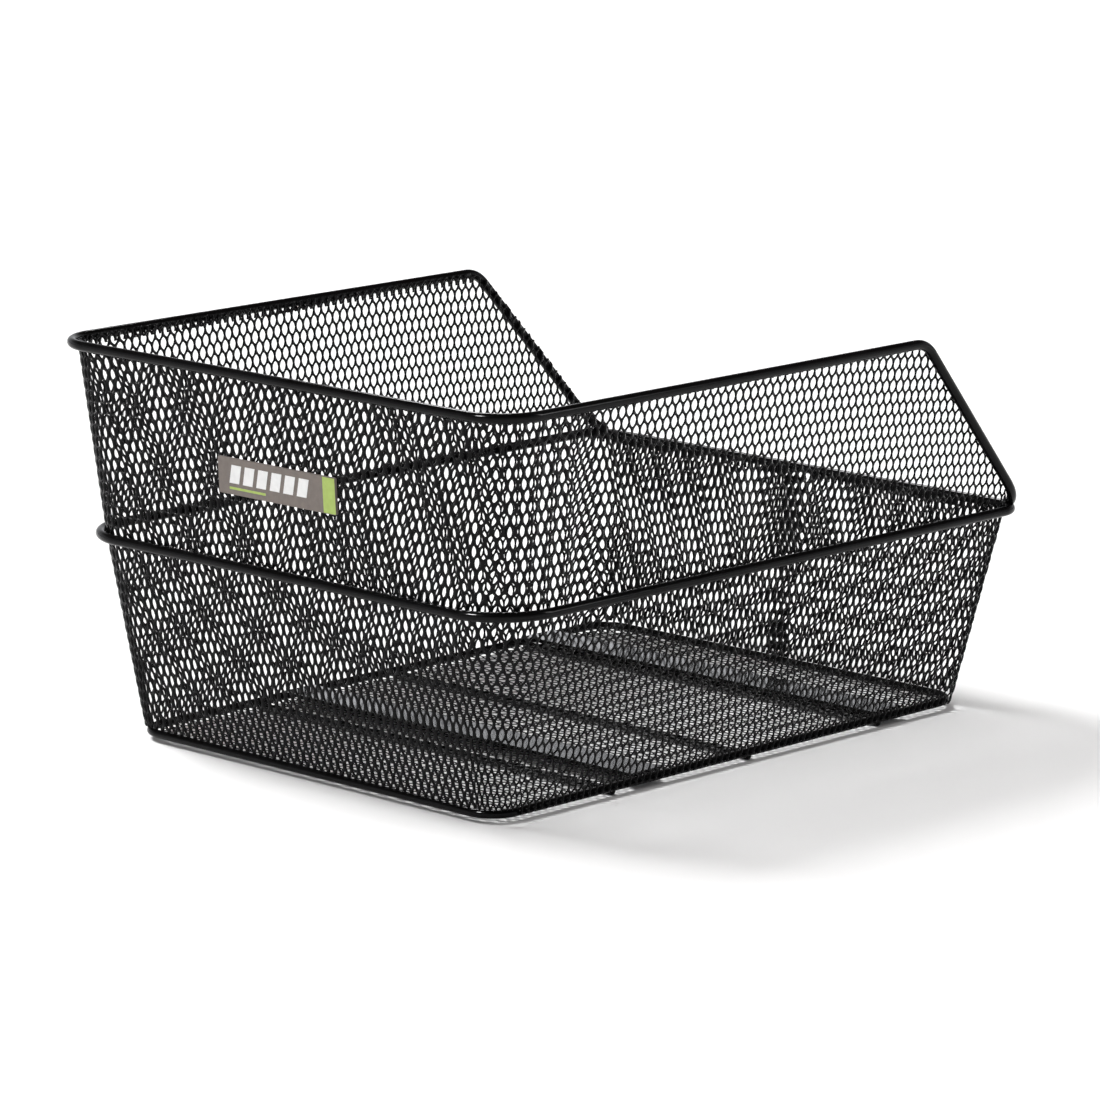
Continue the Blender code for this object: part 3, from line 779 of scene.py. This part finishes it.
def make_badge_print():
    """A plain row of slanted bars, a thin line and an end strip, in place of any lettering."""
    lean = math.atan((HALF_LENGTHS[2] - HALF_LENGTHS[1]) / (RIM_Z - RING_Z))
    outward = Vector((-math.cos(lean), 0.0, -math.sin(lean)))
    upward = Vector((-math.sin(lean), 0.0, math.cos(lean)))
    rightward = upward.cross(outward)
    face = middle("badge_plate") + outward * (BADGE_THICKNESS / 2 - INK_THICKNESS / 4)
    to_world = Matrix.Translation(face) @ Matrix((rightward, upward, outward)).transposed().to_4x4()
    white = badge_paint("badge_white", (0.78, 0.78, 0.77), (0.84, 0.84, 0.83))
    green = badge_paint("badge_green", (0.34, 0.46, 0.09), (0.39, 0.52, 0.11))
    half_width = size("badge_plate").y / 2
    left = BADGE_PRINT_START - half_width

    def add_print(name, start, length, levels, slant, material):
        low, high = levels
        corners = [(start, low), (start + length, low), (start + length + slant, high),
                   (start + slant, high)]
        flat_plate(name, corners, INK_THICKNESS, to_world, material)

    for number in range(BADGE_BARS):
        add_print(f"badge_bar_{number + 1}", left + number * BADGE_BAR_PITCH, BADGE_BAR_WIDTH,
                  BADGE_BAR_HEIGHTS, BADGE_BAR_SLANT, white)
    add_print("badge_line", left, BADGE_LINE_LENGTH, BADGE_LINE_HEIGHTS, 0.0, green)
    top = BADGE_HEIGHT / 2 - BADGE_MARGIN
    add_print("badge_end_strip", half_width - BADGE_MARGIN - BADGE_STRIP_WIDTH, BADGE_STRIP_WIDTH,
              (-top, top), 0.0, green)


# ---------------------------------------------------------------- stage, light and camera
def make_stage():
    """Plain pale floor, large enough to fill the view."""
    bpy.ops.mesh.primitive_plane_add(size=40.0, location=(0.0, 8.0, 0.0))
    floor = bpy.context.object
    floor.name = "studio_floor"
    graph = Graph("studio_floor_paint")
    graph.set(Base_Color=graph.ramp(graph.noise(0.6, 2.0), (0.86, 0.86, 0.86),
                                    (0.89, 0.89, 0.89)),
              Roughness=0.9, Specular_IOR_Level=0.1)
    floor.data.materials.append(graph.material)


def softbox(name, location, target, width, height, power):
    """Area light that only gives highlights."""
    data = bpy.data.lights.new(name, "AREA")
    data.shape = "RECTANGLE"
    data.size = width
    data.size_y = height
    data.energy = power
    lamp = bpy.data.objects.new(name, data)
    bpy.context.scene.collection.objects.link(lamp)
    lamp.location = location
    lamp.rotation_euler = (Vector(target) - Vector(location)).to_track_quat("-Z", "Y").to_euler()
    lamp.visible_diffuse = False


def sun_light(name, energy, spread, direction):
    """Even light from a wide disc in the sky, which gives no highlights of its own."""
    data = bpy.data.lights.new(name, "SUN")
    data.energy = energy
    data.angle = math.radians(spread)
    lamp = bpy.data.objects.new(name, data)
    bpy.context.scene.collection.objects.link(lamp)
    lamp.rotation_euler = Vector(direction).to_track_quat("-Z", "Y").to_euler()
    lamp.visible_glossy = False


def make_world():
    """Room seen in the gloss: a pale wall low down, which fades into a dark ceiling."""
    world = bpy.data.worlds.new("studio")
    bpy.context.scene.world = world
    world.use_nodes = True
    nodes, links = world.node_tree.nodes, world.node_tree.links
    background = nodes["Background"]
    where = nodes.new("ShaderNodeTexCoord")
    split = nodes.new("ShaderNodeSeparateXYZ")
    links.new(where.outputs["Generated"], split.inputs["Vector"])
    ramp = nodes.new("ShaderNodeValToRGB")
    links.new(split.outputs["Z"], ramp.inputs["Fac"])
    first, last = ramp.color_ramp.elements
    first.position, last.position = WALL_TOP, CEILING_START
    first.color = (0.80, 0.81, 0.84, 1.0)
    last.color = (0.055, 0.042, 0.035, 1.0)
    links.new(ramp.outputs["Color"], background.inputs["Color"])
    background.inputs["Strength"].default_value = 1.0


def make_light():
    make_world()
    sun_light("overhead_light", 1.15, 100, (0.0, 0.0, -1.0))
    sun_light("key_light", 4.1, 26, (0.10, -0.78, -1.0))
    centre = (SHIFT, 0.0, 0.12)
    softbox("key_softbox", (-1.75, 0.25, 1.85), centre, 0.42, 0.42, 100.0)
    softbox("side_softbox", (1.5, -1.9, 1.5), centre, 0.35, 1.2, 12.0)
    softbox("rear_softbox", (1.2, 1.6, 1.9), centre, 0.8, 0.35, 30.0)


def make_camera():
    level = math.cos(CAMERA_ELEVATION)
    backward = Vector((math.sin(CAMERA_AZIMUTH) * level, -math.cos(CAMERA_AZIMUTH) * level,
                       math.sin(CAMERA_ELEVATION)))
    rightward = Vector((math.cos(CAMERA_AZIMUTH), math.sin(CAMERA_AZIMUTH), 0.0))
    upward = backward.cross(rightward)
    aim = Vector((SHIFT, 0.0, AIM_HEIGHT))
    data = bpy.data.cameras.new("camera")
    data.sensor_width = 36.0
    data.lens = CAMERA_LENS
    data.clip_end = 100.0
    camera = bpy.data.objects.new("camera", data)
    bpy.context.scene.collection.objects.link(camera)
    camera.location = aim + backward * CAMERA_DISTANCE
    framed = aim - upward * FRAMING[1] - rightward * FRAMING[0]
    camera.rotation_euler = (framed - camera.location).to_track_quat("-Z", "Y").to_euler()
    bpy.context.scene.camera = camera


def repaint(node, material):
    """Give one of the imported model's own pieces a better material."""
    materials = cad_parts[node].data.materials
    materials.clear()
    materials.append(material)


def repaint_kept_pieces():
    strip_coat = powder_coat("strip_powder_coat", 500.0, (0.10, 0.18), gloss=1.0,
                             Coat_Weight=1.0, Coat_Roughness=0.08, Coat_IOR=2.2)
    for node in ("mounting_strip_rear", "mounting_strip_front", "badge_backing_plate"):
        repaint(node, strip_coat)
    for node in ("badge_screw_left", "badge_screw_right"):
        repaint(node, screw_steel(node + "_steel"))
    repaint("badge_plate", badge_paint("badge_brown", (0.14, 0.115, 0.10), (0.17, 0.14, 0.12)))


make_camera()
make_stage()
make_light()
mesh_coat = powder_coat("mesh_powder_coat", 1500.0, (0.14, 0.24))
make_wall_mesh(mesh_coat)
make_floor_mesh(mesh_coat)
make_wires(powder_coat("wire_powder_coat", 900.0, (0.09, 0.17)))
make_badge_print()
repaint_kept_pieces()

bpy.context.scene.view_settings.view_transform = "Standard"
